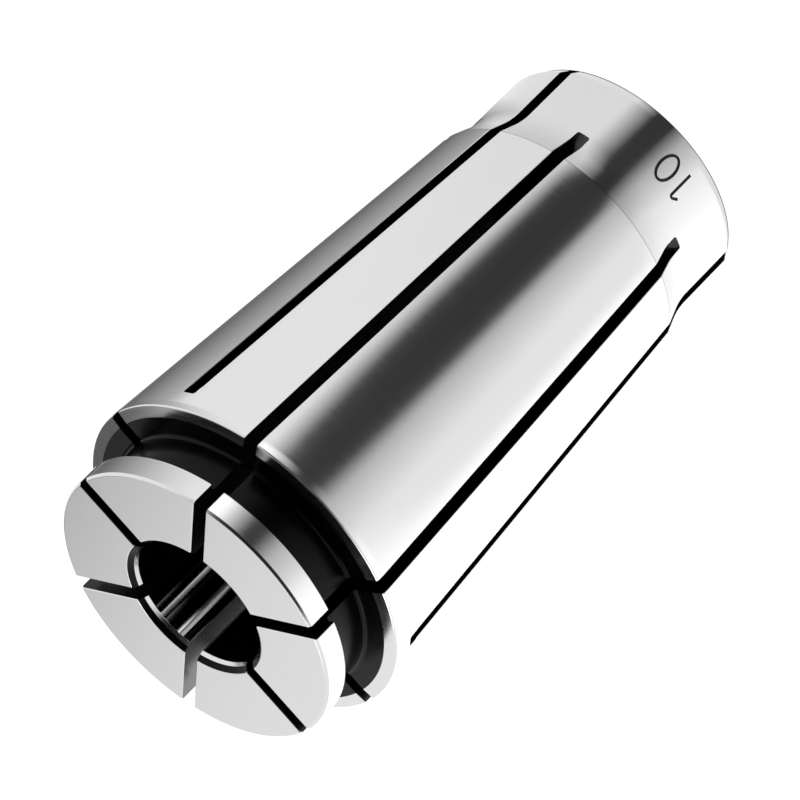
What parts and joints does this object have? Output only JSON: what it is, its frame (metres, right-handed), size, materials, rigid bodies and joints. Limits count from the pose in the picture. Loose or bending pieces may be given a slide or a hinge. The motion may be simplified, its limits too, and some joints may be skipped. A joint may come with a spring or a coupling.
{
  "type": "slim collet",
  "caption": "Slotted spring collet with a slim 8 degree taper, a nose ring with a draw groove, a round bore for a tool shank and a short cylindrical tail.",
  "frame": {"origin": "centre of the tail's end face, on the axis, which is the bottom of the collet as it stands", "axes": "+Z along the axis from the tail to the nose; +X through one of the slots cut from the nose"},
  "size_m": [0.025, 0.025, 0.0465],
  "materials": {
    "ground_steel": "ground and polished hardened spring steel"
  },
  "bodies": {
    "root": {"collet": "ground_steel"}
  },
  "joints": []
}
